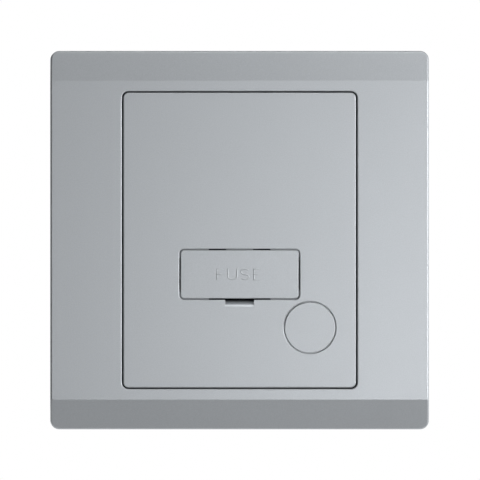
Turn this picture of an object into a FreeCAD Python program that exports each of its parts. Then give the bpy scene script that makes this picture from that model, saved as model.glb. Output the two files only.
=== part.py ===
"""A fused spur unit for a single wall box.

It has a clip-on frame, a centre cover, a pull-out fuse carrier and a wiring base.

Millimetres. X is to the right, Z is up, and +Y goes into the wall.
The origin is midway between the two fixing screws, in the plane of the wall.
"""
import FreeCAD, Part
import os
from FreeCAD import Vector

# Clip-on frame: the plate's overhang past the box screws brings it to the standard 86 mm square
PLATE_PAST_SCREWS = 12.85
FACE_HEIGHT = 9.0
PLATE_CORNER_R = 2.0
PLATE_RIM_R = 0.45
BAND_WIDTH = 6.78
BAND_DROP = 1.5
FRAME_WALL = 2.0
FRAME_OFF_WALL = 0.2
RETURN_RIM = 1.5
RETURN_RIM_OFF_YOKE = 0.4
LEG_THICK = 1.6
LEG_WIDTH = 6.0
LEG_INSET = 8.0
LEG_Z = 24.0
LEG_SHORT_OF_WALL = 0.5

# Centre cover
PANEL_PAST_BASE_SIDE = 1.425
PANEL_PAST_BASE_END = 2.5
PANEL_GAP = 0.3
PANEL_CORNER_R = 1.2
PANEL_EDGE_R = 0.25
COVER_FRONT = 1.8
COVER_ROOT = 0.3
COVER_SIDE = 1.6
BOSS_R = 2.7
BOSS_END_Y = 4.0
PEG_R = 1.6
PEG_GAP = 0.2

# Yoke that the box screws hold
YOKE_INSIDE_FRAME = 1.5
YOKE_THICK = 3.6
YOKE_CORNER_R = 3.0
YOKE_SEAT_THICK = 2.4
YOKE_SEAT_LAND = 1.8
YOKE_BASE_GAP = 0.3
FIXING_SLOT_PLAY = 0.2
FIXING_SLOT_TRAVEL = 2.6
FIXING_HEAD_PLAY = 0.4
FIXING_HEAD_SEAT = 1.8
LEG_SLOT_GAP = 0.3

# Wiring base: its room beside the box screws brings them to the standard 60.3 mm apart
BASE_OFF_SCREW = 5.15
BASE_CORNER_R = 2.0
BASE_WALL = 1.6
BASE_MIDDLE_REAR = 14.0
BASE_MIDDLE_FLOOR = 1.8
TOWER_REAR = 22.0
TOWER_STEP_WALL = 3.8
NOTCH_FLOOR_REAR = 0.8
NOTCH_WALL = 1.5
NOTCH_WALL_GAP = 0.435
TOWER_OFF_SHROUD = 0.1
PILLAR_GAP = 0.2

# Cartridge fuse
FUSE_LENGTH = 25.4
FUSE_D = 6.35
FUSE_CAP_LENGTH = 6.0
FUSE_CAP_WALL = 0.175
FUSE_CAP_END = 0.3
FUSE_BARREL_PLAY = 0.05
FUSE_END_SPACE = 0.1
FUSE_BEHIND_BAR = 0.275

# Fuse carrier
CARRIER_Z = -7.77
CARRIER_GAP = 0.3
CARRIER_CORNER_R = 0.8
CARRIER_EDGE_R = 0.16
CARRIER_SUNK = 0.15
CARRIER_LIP = 0.85
LEDGE_PLAY = 0.05
CARRIER_CHEEK = 0.55
FUSE_END_PLAY = 0.15
CARRIER_BAR_MARGIN = 0.105
CARRIER_BAR_DEPTH = 2.35
CARRIER_STEM_PAST_AXIS = 2.6
CARRIER_RAIL = 1.5
CARRIER_RAIL_REAR = 7.5
CRADLE_PLAY = 0.1
CRADLE_WALL = 2.43
CRADLE_SNAP = 0.35
KEY_W = 6.16
KEY_DEPTH = 1.5
KEY_REAR = 5.0
PRY_W = 6.53
PRY_HEIGHT = 1.1
PRY_DEPTH = 1.4
PRY_LIP = 0.45
PRY_LIP_DEPTH = 0.25
UNDERCUT_DEPTH = 1.6
UNDERCUT_HEIGHT = 0.9

# Shroud round the fuse, behind the cover
SHROUD_WALL = 1.0
SHROUD_RELIEF = 0.2
SHROUD_REAR = 9.0
SHROUD_FLOOR = 1.0
SHROUD_FORK_SPACE = 0.3

# Flex outlet and its blanking plug
PLUG_R = 5.75
PLUG_GAP = 0.2
PLUG_FLANGE = 0.8
PLUG_EDGE_R = 0.14
PLUG_SEAT = 0.75
PLUG_SPIGOT_WALL = 1.2
PLUG_SPIGOT_REAR = -4.5
COLLAR_WALL = 1.0
COLLAR_OFF_BASE = 0.2
COLLAR_OFF_YOKE_SIDE = 1.06
COLLAR_OFF_YOKE_END = 3.14
BASE_FLEX_R = 4.7
BASE_FLEX_LAND = 0.26

# Contacts and links
STRIP = 0.6
STRAP_THICK = 0.8
STRAP_FRONT = 9.8
FORK_GRIP_GAP = 0.12
FORK_SIDE_GAP = 0.8
FORK_PAST_AXIS = 2.0
FORK_BEND_R = 0.5
NEUTRAL_LINK_W = 6.0
EARTH_LINK_W = 4.0
LINE_STRAP_W = 4.8
LINK_SHORT = 0.5

# Terminals
TERMINAL_W = 7.0
TERMINAL_D = 8.0
TERMINAL_H = 10.0
TERMINAL_BORE_R = 2.1
TERMINAL_BORE_IN = 3.0
POCKET_GAP = 0.2
POCKET_SIDE_WALL = 2.1
POCKET_END_WALL = 1.8
POCKET_WEB = 1.8
WIRE_ENTRY_R = 2.8

# Terminal screws
TERMINAL_SCREW_R = 2.0
TERMINAL_SCREW_PLAY = 0.05
TERMINAL_HEAD_R = 3.0
TERMINAL_HEAD = 2.4
TERMINAL_HEAD_LIFT = 0.3
TERMINAL_WELL_PLAY = 0.5

# Case screws
CASE_SCREW_R = 1.45
CASE_SCREW_BITE = 5.0
CASE_PILOT_PLAY = 0.05
CASE_HOLE_PLAY = 0.15
PILOT_SPARE = 1.5
CASE_HEAD_R = 2.35
CASE_HEAD = 1.7
CASE_HEAD_SEAT = 12.0
CASE_WELL_PLAY = 0.25
CASE_RIGHT_OFF_SHROUD = 1.7
CASE_RIGHT_INSET = 1.4
CASE_RIGHT_LIFT = 0.1
CASE_WELL_WALL = 1.2
CASE_SEAT_THICK = 1.5

# Fixing screws
FIXING_R = 1.75
FIXING_NECK_R = 1.45
FIXING_HEAD_R = 3.2
FIXING_HEAD = 1.6
FIXING_LENGTH = 23.0

# Cord clamp
CLAMP_INSET = 0.4
CLAMP_Z = -2.0
CLAMP_PITCH = 13.2
CLAMP_POST_R = 2.4
CLAMP_POST = 5.5
CLAMP_BAR_L = 18.6
CLAMP_BAR_W = 6.0
CLAMP_BAR = 2.4
CLAMP_BAR_R = 1.5
CLAMP_ARCH_W = 8.2
CLAMP_ARCH = 0.9
CLAMP_SCREW_R = 1.45
CLAMP_SCREW_PLAY = 0.05
CLAMP_SCREW_IN = 4.0
CLAMP_HEAD_R = 2.5
CLAMP_HEAD = 1.6
SADDLE_RIB = 0.8
SADDLE_RIBS = 3
SADDLE_PITCH = 2.0

# Screw driver slots
SLOT_W = 0.8
SLOT_DEPTH = 0.8
CROSS_ARM = 1.5

# Room for a cutting tool past a face, and the closeness of a point to a plane
PAST = 1.0
TINY = 1e-4

# Places that follow from the sizes
FACE_Y = -FACE_HEIGHT
FRAME_BACK_Y = -FRAME_OFF_WALL
COVER_INSIDE_Y = FACE_Y + COVER_FRONT
YOKE_FRONT_Y = -YOKE_THICK
BASE_FRONT_Y = YOKE_FRONT_Y + YOKE_SEAT_THICK
CARRIER_W = FUSE_LENGTH + 2 * (FUSE_END_PLAY + CARRIER_CHEEK)
CARRIER_STEM_W = FUSE_LENGTH - 2 * FUSE_CAP_LENGTH
SHROUD_SIDE_X = CARRIER_W / 2 + CARRIER_GAP + SHROUD_RELIEF + SHROUD_WALL
CASE_RIGHT_X = SHROUD_SIDE_X + CASE_RIGHT_OFF_SHROUD + BOSS_R
BASE_INSIDE_X = CASE_RIGHT_X + BOSS_R + CASE_RIGHT_INSET
BASE_W = 2 * (BASE_INSIDE_X + BASE_WALL)
BARREL_R = FUSE_D / 2 - FUSE_CAP_WALL - FUSE_BARREL_PLAY
CARRIER_H = 2 * (BARREL_R + CRADLE_PLAY + CRADLE_WALL)
FORK_INNER = FUSE_D / 2 + FORK_GRIP_GAP
FORK_OUTER = FORK_INNER + STRIP
SHROUD_FORK_HALF_H = FORK_OUTER + SHROUD_FORK_SPACE + SHROUD_WALL
OUTLET_R = PLUG_R + PLUG_GAP - PLUG_SEAT
COLLAR_R = OUTLET_R + COLLAR_WALL
MIDDLE_LOW_Z = CARRIER_Z - SHROUD_FORK_HALF_H - NOTCH_WALL_GAP - NOTCH_WALL
OUTLET_Z = MIDDLE_LOW_Z - BASE_FLEX_LAND - BASE_FLEX_R
OUTLET_X = BASE_W / 2 - YOKE_SEAT_LAND - COLLAR_OFF_YOKE_SIDE - COLLAR_R
BASE_H = 2 * (YOKE_SEAT_LAND + COLLAR_OFF_YOKE_END + COLLAR_R - OUTLET_Z)
BASE_INSIDE_Z = BASE_H / 2 - BASE_WALL
FIXING_PITCH = BASE_W + 2 * BASE_OFF_SCREW
PLATE_SIDE = FIXING_PITCH + 2 * PLATE_PAST_SCREWS
YOKE_SIDE = PLATE_SIDE - 2 * (FRAME_WALL + YOKE_INSIDE_FRAME)
PANEL_W = BASE_W + 2 * PANEL_PAST_BASE_SIDE
PANEL_H = BASE_H + 2 * PANEL_PAST_BASE_END
WINDOW_W = PANEL_W + 2 * PANEL_GAP
WINDOW_H = PANEL_H + 2 * PANEL_GAP
LEG_X = PLATE_SIDE / 2 - LEG_INSET
MIDDLE_FLOOR_Y = BASE_MIDDLE_REAR - BASE_MIDDLE_FLOOR
STRAP_REAR = STRAP_FRONT + STRAP_THICK
CARRIER_BAR_H = FUSE_D + 2 * CARRIER_BAR_MARGIN
CARRIER_FACE_Y = FACE_Y + CARRIER_SUNK
CARRIER_BODY_Y = CARRIER_FACE_Y + CARRIER_LIP
LEDGE_Y = CARRIER_BODY_Y + LEDGE_PLAY
FUSE_Y = CARRIER_BODY_Y + CARRIER_BAR_DEPTH + FUSE_BEHIND_BAR + FUSE_D / 2
CARRIER_STEM_REAR = FUSE_Y + CARRIER_STEM_PAST_AXIS
FORK_FRONT = FUSE_Y - FORK_PAST_AXIS
FORK_NEAR_X = CARRIER_STEM_W / 2 + FORK_SIDE_GAP
FORK_FAR_X = FUSE_LENGTH / 2 - FORK_SIDE_GAP
TERMINAL_REAR = STRAP_REAR + TERMINAL_D
BORE_Y = STRAP_REAR + TERMINAL_BORE_IN
SCREW_TIP_Y = BORE_Y + TERMINAL_BORE_R + TERMINAL_SCREW_PLAY
ROW_Z = BASE_H / 2 - POCKET_END_WALL - POCKET_GAP - TERMINAL_H / 2
TOP_TOWER_Z = ROW_Z - TERMINAL_H / 2 - POCKET_GAP - TOWER_STEP_WALL
OUTER_X = BASE_W / 2 - POCKET_SIDE_WALL - POCKET_GAP - TERMINAL_W / 2
PAIR_X = POCKET_WEB / 2 + POCKET_GAP + TERMINAL_W / 2
SHROUD_STEM_X = CARRIER_STEM_W / 2 + CARRIER_GAP + SHROUD_RELIEF + SHROUD_WALL
LOWER_TOWER_X = max(PAIR_X + TERMINAL_W / 2 + POCKET_GAP, SHROUD_STEM_X + TOWER_OFF_SHROUD) + BASE_WALL
CLAMP_X = BASE_W / 2 - CLAMP_INSET - CLAMP_POST_R - CLAMP_PITCH / 2
CLAMP_BAR_Y = BASE_MIDDLE_REAR + CLAMP_POST

# Terminals by node name: X, and which end of the base, up or down
TERMINALS = {
    "supply_neutral_terminal": (-OUTER_X, 1),
    "supply_earth_terminal": (0.0, 1),
    "supply_line_terminal": (OUTER_X, 1),
    "load_neutral_terminal": (-OUTER_X, -1),
    "load_line_terminal": (-PAIR_X, -1),
    "load_earth_terminal": (PAIR_X, -1),
}

# Case screws: one between each two top terminals, one between the lower left two, one by the shroud
CASE_SCREWS = [
    (-OUTER_X / 2, ROW_Z),
    (OUTER_X / 2, ROW_Z),
    (-(OUTER_X + PAIR_X) / 2, -ROW_Z),
    (CASE_RIGHT_X, MIDDLE_LOW_Z + BASE_WALL + BOSS_R + CASE_RIGHT_LIFT),
]

# Screws of the cord clamp, one each side of the flex
CLAMP_SCREWS = [(CLAMP_X + side * CLAMP_PITCH / 2, CLAMP_Z) for side in (-1, 1)]


def block(x0, x1, y0, y1, z0, z1):
    """A box between two corners."""
    return Part.makeBox(x1 - x0, y1 - y0, z1 - z0, Vector(x0, y0, z0))


def centred_block(width, height, y0, y1, x=0.0, z=0.0):
    """A box centred on a line along Y."""
    return block(x - width / 2, x + width / 2, y0, y1, z - height / 2, z + height / 2)


def rod(radius, y0, y1, x, z):
    """A round bar along Y."""
    return Part.makeCylinder(radius, y1 - y0, Vector(x, y0, z), Vector(0, 1, 0))


def upright_rod(radius, z0, z1, x, y):
    """A round bar along Z."""
    return Part.makeCylinder(radius, z1 - z0, Vector(x, y, z0), Vector(0, 0, 1))


def cross_rod(radius, x0, x1, y, z):
    """A round bar along X."""
    return Part.makeCylinder(radius, x1 - x0, Vector(x0, y, z), Vector(1, 0, 0))


def side_profile(points, x0, x1):
    """A prism along X over an outline of (y, z) points."""
    corners = [Vector(x0, y, z) for y, z in points]
    face = Part.Face(Part.makePolygon(corners + corners[:1]))
    return face.extrude(Vector(x1 - x0, 0, 0))


def front_profile(points, y0, y1):
    """A prism along Y over an outline of (x, z) points."""
    corners = [Vector(x, y0, z) for x, z in points]
    face = Part.Face(Part.makePolygon(corners + corners[:1]))
    return face.extrude(Vector(0, y1 - y0, 0))


def edges_along_y(shape):
    """The straight edges that run along Y."""
    found = []
    for edge in shape.Edges:
        box = edge.BoundBox
        if box.XLength < TINY and box.ZLength < TINY and box.YLength > TINY:
            found.append(edge)
    return found


def edges_on_plane(shape, y):
    """The edges that lie flat at one Y."""
    found = []
    for edge in shape.Edges:
        box = edge.BoundBox
        if abs(box.YMin - y) < TINY and abs(box.YMax - y) < TINY:
            found.append(edge)
    return found


def rounded_slab(width, height, radius, y0, y1, x=0.0, z=0.0):
    """A plate with a rounded rectangle outline, facing along Y."""
    box = centred_block(width, height, y0, y1, x, z)
    return box.makeFillet(radius, edges_along_y(box))


def slot_y(width, height, y0, y1, x, z):
    """A prism along Y with round ends at its top and bottom."""
    reach = (height - width) / 2
    shape = centred_block(width, 2 * reach, y0, y1, x, z)
    return shape.fuse([rod(width / 2, y0, y1, x, z + side * reach) for side in (-1, 1)])


def mirrored(shape):
    """The same shape on the other side of the YZ plane."""
    return shape.mirror(Vector(0, 0, 0), Vector(1, 0, 0))


def band_front(inset, y_shift, reach):
    """The frame's sloped front seen from the side, as a prism whose face is moved back by y_shift."""
    outer = PLATE_SIDE / 2 - inset
    knee = PLATE_SIDE / 2 - BAND_WIDTH
    front = FACE_Y + y_shift
    edge = front + BAND_DROP * (outer - knee) / BAND_WIDTH
    points = [(reach, -outer), (edge, -outer), (front, -knee), (front, knee), (edge, outer), (reach, outer)]
    return side_profile(points, -outer, outer)


def frame_rim_edges(shape):
    """The front edges round the outside of the frame."""
    half = PLATE_SIDE / 2
    found = []
    for edge in shape.Edges:
        box = edge.BoundBox
        centre_x = max(abs(box.XMin), abs(box.XMax))
        centre_z = max(abs(box.ZMin), abs(box.ZMax))
        on_side = centre_x > half - TINY or centre_z > half - TINY
        at_front = box.YMax < FACE_Y + BAND_DROP + TINY and box.YLength < BAND_DROP + TINY
        along_knee = box.XLength > PLATE_SIDE - 2 * PLATE_CORNER_R + TINY
        if on_side and at_front and not along_knee:
            found.append(edge)
    return found


def outer_frame():
    """The clip-on frame: sloped top and bottom bands, skirt, return rim round the window, and four legs."""
    solid = band_front(0.0, 0.0, FRAME_BACK_Y)
    outline = rounded_slab(PLATE_SIDE, PLATE_SIDE, PLATE_CORNER_R, FACE_Y - PAST, FRAME_BACK_Y)
    solid = solid.common(outline)
    solid = solid.makeFillet(PLATE_RIM_R, frame_rim_edges(solid))
    hollow = band_front(FRAME_WALL, FRAME_WALL, FRAME_BACK_Y + PAST)
    solid = solid.cut(hollow)
    rim_w = WINDOW_W + 2 * RETURN_RIM
    rim_h = WINDOW_H + 2 * RETURN_RIM
    rim_r = PANEL_CORNER_R + PANEL_GAP
    inside_y = FACE_Y + FRAME_WALL
    rim_end = YOKE_FRONT_Y - RETURN_RIM_OFF_YOKE
    rim = rounded_slab(rim_w, rim_h, rim_r + RETURN_RIM, inside_y - PAST, rim_end)
    legs = []
    leg_end = -LEG_SHORT_OF_WALL
    for side in (-1, 1):
        for end in (-1, 1):
            x = side * LEG_X
            legs.append(centred_block(LEG_THICK, LEG_WIDTH, inside_y - PAST, leg_end, x, end * LEG_Z))
    solid = solid.fuse([rim] + legs)
    window = rounded_slab(WINDOW_W, WINDOW_H, rim_r, FACE_Y - PAST, rim_end + PAST)
    solid = solid.cut(window)
    lip = []
    for edge in edges_on_plane(solid, FACE_Y):
        box = edge.BoundBox
        if max(-box.XMin, box.XMax) < WINDOW_W / 2 + TINY and box.ZLength < WINDOW_H + TINY:
            lip.append(edge)
    return solid.makeFillet(PANEL_EDGE_R, lip)


def carrier_cross(stem_w, stem_h, bar_w, bar_h, y0, y1):
    """The upright cross that the fuse carrier and its hole share."""
    stem = centred_block(stem_w, stem_h, y0, y1, 0.0, CARRIER_Z)
    bar = centred_block(bar_w, bar_h, y0, y1, 0.0, CARRIER_Z)
    return stem.fuse(bar)


def carrier_hole(margin, fork_margin, y0, y1):
    """The hole for the carrier, grown by a margin all round and by another beside the forks."""
    grow = 2 * (CARRIER_GAP + margin)
    bar_h = CARRIER_BAR_H + grow + 2 * fork_margin
    return carrier_cross(CARRIER_STEM_W + grow, CARRIER_H + grow, CARRIER_W + grow, bar_h, y0, y1)


def key_tongue(y0, y1, margin):
    """The key at the top of the carrier hole."""
    top = CARRIER_Z + CARRIER_H / 2 + CARRIER_GAP
    return block(-KEY_W / 2, KEY_W / 2, y0, y1, top - KEY_DEPTH, top + margin)


def pry_notch():
    """The sloped notch under the carrier that takes a screwdriver's tip, with its chamfered lip."""
    top = CARRIER_Z - CARRIER_H / 2 - CARRIER_GAP
    points = [
        (FACE_Y - PAST, top + CARRIER_GAP),
        (FACE_Y + PRY_DEPTH, top + CARRIER_GAP),
        (FACE_Y + PRY_DEPTH, top),
        (FACE_Y + PRY_LIP_DEPTH, top - PRY_HEIGHT),
        (FACE_Y, top - PRY_HEIGHT - PRY_LIP),
        (FACE_Y - PAST, top - PRY_HEIGHT - PRY_LIP),
    ]
    return side_profile(points, -PRY_W / 2, PRY_W / 2)


def shroud():
    """The tube behind the cover that holds the carrier, closed behind its stem and open at the contacts."""
    fork_space = SHROUD_FORK_HALF_H - SHROUD_WALL - (CARRIER_BAR_H / 2 + CARRIER_GAP + SHROUD_RELIEF)
    start = COVER_INSIDE_Y
    outside = carrier_hole(SHROUD_RELIEF + SHROUD_WALL, fork_space, start - COVER_ROOT, SHROUD_REAR)
    inside = carrier_hole(SHROUD_RELIEF, fork_space, start, SHROUD_REAR + PAST)
    key = key_tongue(start - COVER_ROOT, KEY_REAR, SHROUD_RELIEF + SHROUD_WALL / 2)
    stem_w = CARRIER_STEM_W + 2 * (CARRIER_GAP + SHROUD_RELIEF)
    stem_h = CARRIER_H + 2 * (CARRIER_GAP + SHROUD_RELIEF + SHROUD_WALL)
    floor = centred_block(stem_w, stem_h, SHROUD_REAR - SHROUD_FLOOR, SHROUD_REAR, 0.0, CARRIER_Z)
    return outside.cut(inside.cut(floor)).fuse(key)


def centre_cover():
    """The centre cover: front wall, side walls on the yoke, fuse shroud, flex collar, bosses and pegs."""
    solid = rounded_slab(PANEL_W, PANEL_H, PANEL_CORNER_R, FACE_Y, YOKE_FRONT_Y)
    solid = solid.makeFillet(PANEL_EDGE_R, edges_on_plane(solid, FACE_Y))
    inside_w = PANEL_W - 2 * COVER_SIDE
    inside_h = PANEL_H - 2 * COVER_SIDE
    solid = solid.cut(centred_block(inside_w, inside_h, COVER_INSIDE_Y, YOKE_FRONT_Y + PAST))

    recess_w = CARRIER_W + 2 * CARRIER_GAP
    recess_h = CARRIER_H + 2 * CARRIER_GAP
    recess_r = CARRIER_CORNER_R + CARRIER_GAP
    recess = rounded_slab(recess_w, recess_h, recess_r, FACE_Y - PAST, LEDGE_Y, 0.0, CARRIER_Z)
    plug_seat_y = FACE_Y + PLUG_FLANGE + LEDGE_PLAY
    plug_recess = rod(PLUG_R + PLUG_GAP, FACE_Y - PAST, plug_seat_y, OUTLET_X, OUTLET_Z)
    solid = solid.cut([recess, plug_recess])
    mouths = []
    for edge in edges_on_plane(solid, FACE_Y):
        middle = edge.BoundBox.Center
        if abs(middle.x) < inside_w / 2 and abs(middle.z) < inside_h / 2:
            mouths.append(edge)
    solid = solid.makeFillet(CARRIER_EDGE_R, mouths)

    collar_end = BASE_FRONT_Y - COLLAR_OFF_BASE
    collar = rod(COLLAR_R, COVER_INSIDE_Y - COVER_ROOT, collar_end, OUTLET_X, OUTLET_Z)
    bosses = [rod(BOSS_R, COVER_INSIDE_Y - COVER_ROOT, BOSS_END_Y, x, z) for x, z in CASE_SCREWS]
    pegs = []
    for x, end in TERMINALS.values():
        pegs.append(rod(PEG_R, COVER_INSIDE_Y - COVER_ROOT, STRAP_FRONT - PEG_GAP, x, end * ROW_Z))
    solid = solid.fuse([shroud(), collar] + bosses + pegs)

    through = carrier_hole(0.0, 0.0, LEDGE_Y - PAST, COVER_INSIDE_Y)
    through = through.cut(key_tongue(LEDGE_Y - 2 * PAST, COVER_INSIDE_Y + PAST, PAST))
    outlet = rod(OUTLET_R, FACE_Y, collar_end + PAST, OUTLET_X, OUTLET_Z)
    pilot_r = CASE_SCREW_R + CASE_PILOT_PLAY
    pilot_in = BOSS_END_Y - CASE_SCREW_BITE - PILOT_SPARE
    pilots = [rod(pilot_r, pilot_in, BOSS_END_Y + PAST, x, z) for x, z in CASE_SCREWS]
    return solid.cut([through, pry_notch(), outlet] + pilots)


def mounting_yoke():
    """The moulded yoke: seat for the cover and base, and slots for the box screws and the frame's legs."""
    solid = rounded_slab(YOKE_SIDE, YOKE_SIDE, YOKE_CORNER_R, YOKE_FRONT_Y, 0.0)
    window_w = BASE_W - 2 * YOKE_SEAT_LAND
    window_h = BASE_H - 2 * YOKE_SEAT_LAND
    window = centred_block(window_w, window_h, YOKE_FRONT_Y - PAST, PAST)
    seat_w = BASE_W + 2 * YOKE_BASE_GAP
    seat_h = BASE_H + 2 * YOKE_BASE_GAP
    seat = rounded_slab(seat_w, seat_h, BASE_CORNER_R, BASE_FRONT_Y, PAST)
    cuts = [window, seat]
    slot_w = 2 * (FIXING_R + FIXING_SLOT_PLAY)
    head_w = 2 * (FIXING_HEAD_R + FIXING_HEAD_PLAY)
    head_y = -FIXING_HEAD_SEAT
    for side in (-1, 1):
        x = side * FIXING_PITCH / 2
        cuts.append(slot_y(slot_w, slot_w + FIXING_SLOT_TRAVEL, YOKE_FRONT_Y, PAST, x, 0.0))
        cuts.append(slot_y(head_w, head_w + FIXING_SLOT_TRAVEL, YOKE_FRONT_Y - PAST, head_y, x, 0.0))
        for end in (-1, 1):
            leg_w = LEG_THICK + 2 * LEG_SLOT_GAP
            leg_h = LEG_WIDTH + 2 * LEG_SLOT_GAP
            cuts.append(centred_block(leg_w, leg_h, YOKE_FRONT_Y - PAST, PAST, side * LEG_X, end * LEG_Z))
    return solid.cut(cuts)


def base_shell():
    """The outside of the wiring base: middle, two terminal towers, and a thin floor at the flex's hole."""
    half_w = BASE_W / 2
    half_h = BASE_H / 2
    middle = block(-half_w, half_w, BASE_FRONT_Y, BASE_MIDDLE_REAR, MIDDLE_LOW_Z, TOP_TOWER_Z)
    top = block(-half_w, half_w, BASE_FRONT_Y, TOWER_REAR, TOP_TOWER_Z, half_h)
    lower = block(-half_w, LOWER_TOWER_X, BASE_FRONT_Y, TOWER_REAR, -half_h, MIDDLE_LOW_Z)
    floor = block(LOWER_TOWER_X, half_w, BASE_FRONT_Y, NOTCH_FLOOR_REAR, -half_h, MIDDLE_LOW_Z)
    outline = rounded_slab(BASE_W, BASE_H, BASE_CORNER_R, BASE_FRONT_Y, TOWER_REAR)
    return middle.fuse([top, lower, floor]).common(outline)


def base_hollows():
    """The inside of the base, which is shallower over the towers so that the links lie on them."""
    front = BASE_FRONT_Y - PAST
    left = -BASE_INSIDE_X
    tower_right = LOWER_TOWER_X - BASE_WALL
    shelf = MIDDLE_LOW_Z + NOTCH_WALL
    return [
        block(left, BASE_INSIDE_X, front, MIDDLE_FLOOR_Y, shelf, TOP_TOWER_Z),
        block(left, tower_right, front, MIDDLE_FLOOR_Y, MIDDLE_LOW_Z, shelf),
        block(left, BASE_INSIDE_X, front, STRAP_REAR, TOP_TOWER_Z, BASE_INSIDE_Z),
        block(left, tower_right, front, STRAP_REAR, -BASE_INSIDE_Z, MIDDLE_LOW_Z),
    ]


def strap_pads():
    """Pads on the base's floor that hold the links and the two contacts level with the terminals."""
    pad = LINE_STRAP_W
    fork_x = (FORK_NEAR_X + FORK_FAR_X) / 2
    places = [(-OUTER_X, 0.0), (PAIR_X / 2, 0.0), (fork_x, CARRIER_Z), (-fork_x, CARRIER_Z)]
    return [centred_block(EARTH_LINK_W, pad, STRAP_REAR, MIDDLE_FLOOR_Y, x, z) for x, z in places]


def terminal_cuts():
    """Per terminal: its pocket, the wire's way in and the well for its screw."""
    cuts = []
    pocket_w = TERMINAL_W + 2 * POCKET_GAP
    pocket_h = TERMINAL_H + 2 * POCKET_GAP
    well_r = TERMINAL_HEAD_R + TERMINAL_WELL_PLAY
    for x, end in TERMINALS.values():
        z = end * ROW_Z
        cuts.append(centred_block(pocket_w, pocket_h, STRAP_REAR - PAST, TERMINAL_REAR + POCKET_GAP, x, z))
        cuts.append(rod(well_r, TERMINAL_REAR, TOWER_REAR + PAST, x, z))
        low, high = sorted((z, end * (BASE_H / 2 + PAST)))
        cuts.append(upright_rod(WIRE_ENTRY_R, low, high, x, BORE_Y))
    return cuts


def rear_base():
    """The wiring base: terminal pockets, pillars for the case screws, posts and ribs of the cord clamp."""
    solid = base_shell().cut(base_hollows())
    pillar_top = BOSS_END_Y + PILLAR_GAP
    well_r = CASE_HEAD_R + CASE_WELL_PLAY
    seat_r = well_r + CASE_WELL_WALL
    seat_y = CASE_HEAD_SEAT - CASE_SEAT_THICK
    pillars = []
    for x, z in CASE_SCREWS:
        pillars.append(rod(BOSS_R, pillar_top, CASE_HEAD_SEAT, x, z))
        pillars.append(rod(seat_r, seat_y, BASE_MIDDLE_REAR, x, z))
    posts = [rod(CLAMP_POST_R, BASE_MIDDLE_REAR - PAST, CLAMP_BAR_Y, x, z) for x, z in CLAMP_SCREWS]
    ribs = []
    for i in range(SADDLE_RIBS):
        z = CLAMP_Z + (i - (SADDLE_RIBS - 1) / 2) * SADDLE_PITCH
        rib_y = BASE_MIDDLE_REAR
        ribs.append(centred_block(CLAMP_ARCH_W, SADDLE_RIB, rib_y - PAST, rib_y + SADDLE_RIB, CLAMP_X, z))
    solid = solid.fuse(pillars + posts + ribs + strap_pads())

    cuts = terminal_cuts()
    for x, z in CASE_SCREWS:
        cuts.append(rod(CASE_SCREW_R + CASE_HOLE_PLAY, pillar_top - PAST, CASE_HEAD_SEAT + PAST, x, z))
        cuts.append(rod(well_r, CASE_HEAD_SEAT, TOWER_REAR + PAST, x, z))
    post_hole_in = CLAMP_BAR_Y - CLAMP_SCREW_IN - PILOT_SPARE
    for x, z in CLAMP_SCREWS:
        cuts.append(rod(CLAMP_SCREW_R + CLAMP_SCREW_PLAY, post_hole_in, CLAMP_BAR_Y + PAST, x, z))
    cuts.append(rod(BASE_FLEX_R, BASE_FRONT_Y - PAST, NOTCH_FLOOR_REAR + PAST, OUTLET_X, OUTLET_Z))
    return solid.cut(cuts)


def fuse_carrier():
    """The pull-out carrier: thin lip, cross-shaped body, keyed stem with rails, and the fuse's cradle."""
    lip_y = CARRIER_BODY_Y
    lip = rounded_slab(CARRIER_W, CARRIER_H, CARRIER_CORNER_R, CARRIER_FACE_Y, lip_y, 0.0, CARRIER_Z)
    lip = lip.makeFillet(CARRIER_EDGE_R, edges_on_plane(lip, CARRIER_FACE_Y))
    bar_rear = lip_y + CARRIER_BAR_DEPTH
    body = carrier_cross(CARRIER_STEM_W, CARRIER_H, CARRIER_W, CARRIER_BAR_H, lip_y, bar_rear)
    stem = centred_block(CARRIER_STEM_W, CARRIER_H, bar_rear, CARRIER_STEM_REAR, 0.0, CARRIER_Z)
    extras = [stem]
    stem_end = CARRIER_STEM_REAR
    for side in (-1, 1):
        x = side * (CARRIER_STEM_W - CARRIER_RAIL) / 2
        extras.append(centred_block(CARRIER_RAIL, CARRIER_H, stem_end, CARRIER_RAIL_REAR, x, CARRIER_Z))
        x = side * (CARRIER_W - CARRIER_CHEEK) / 2
        extras.append(centred_block(CARRIER_CHEEK, CARRIER_BAR_H, bar_rear, stem_end, x, CARRIER_Z))
    solid = lip.fuse([body] + extras)

    cradle_r = BARREL_R + CRADLE_PLAY
    half_stem = CARRIER_STEM_W / 2 + TINY
    cradle = cross_rod(cradle_r, -half_stem, half_stem, FUSE_Y, CARRIER_Z)
    mouth_h = 2 * (BARREL_R - CRADLE_SNAP)
    mouth = centred_block(2 * half_stem, mouth_h, FUSE_Y, CARRIER_RAIL_REAR + PAST, 0.0, CARRIER_Z)
    groove_w = KEY_W + 2 * CARRIER_GAP
    groove_floor = CARRIER_Z + CARRIER_H / 2 - KEY_DEPTH
    groove_top = CARRIER_Z + CARRIER_H / 2 + PAST
    groove = block(-groove_w / 2, groove_w / 2, lip_y, CARRIER_RAIL_REAR + PAST, groove_floor, groove_top)
    low = CARRIER_Z - CARRIER_H / 2
    undercut_y = lip_y + UNDERCUT_DEPTH
    undercut = block(-PRY_W / 2, PRY_W / 2, lip_y, undercut_y, low - PAST, low + UNDERCUT_HEIGHT)
    return solid.cut([cradle, mouth, groove, undercut])


def fuse_barrel():
    """The fuse's ceramic tube."""
    half = FUSE_LENGTH / 2 - FUSE_CAP_END - FUSE_END_SPACE
    return cross_rod(BARREL_R, -half, half, FUSE_Y, CARRIER_Z)


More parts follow.
